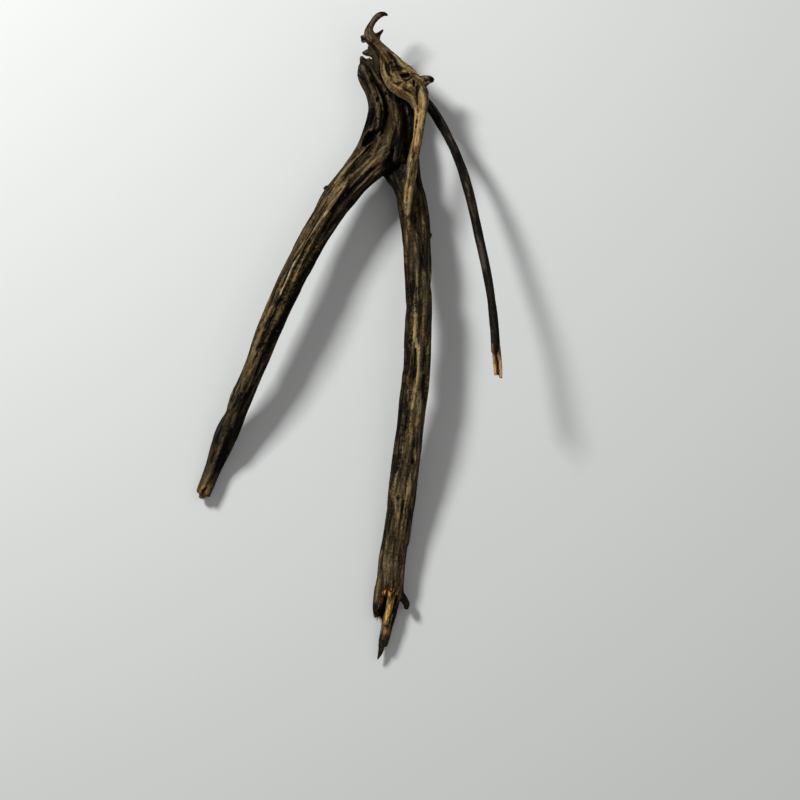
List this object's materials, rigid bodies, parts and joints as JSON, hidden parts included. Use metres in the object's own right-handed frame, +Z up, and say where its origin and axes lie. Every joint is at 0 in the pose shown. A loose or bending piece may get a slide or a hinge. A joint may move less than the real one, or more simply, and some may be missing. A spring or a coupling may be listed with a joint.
{
  "type": "spiderwood root",
  "caption": "Dry forked driftwood root lying down: gnarled crown with a hooked tip, two thick legs and a thin side root.",
  "frame": {"origin": "middle of the bounding box in X and Y, at the surface that the root lies on", "axes": "+Y along the root towards the crown's hooked tip, +X towards the thin side root, +Z up from the surface"},
  "size_m": [0.1438, 0.3048, 0.0374],
  "materials": {
    "root_wood": "dry, weathered, matte wood with dark grooves and tan ridges"
  },
  "bodies": {
    "root": {"spiderwood_root": "root_wood"}
  },
  "joints": []
}
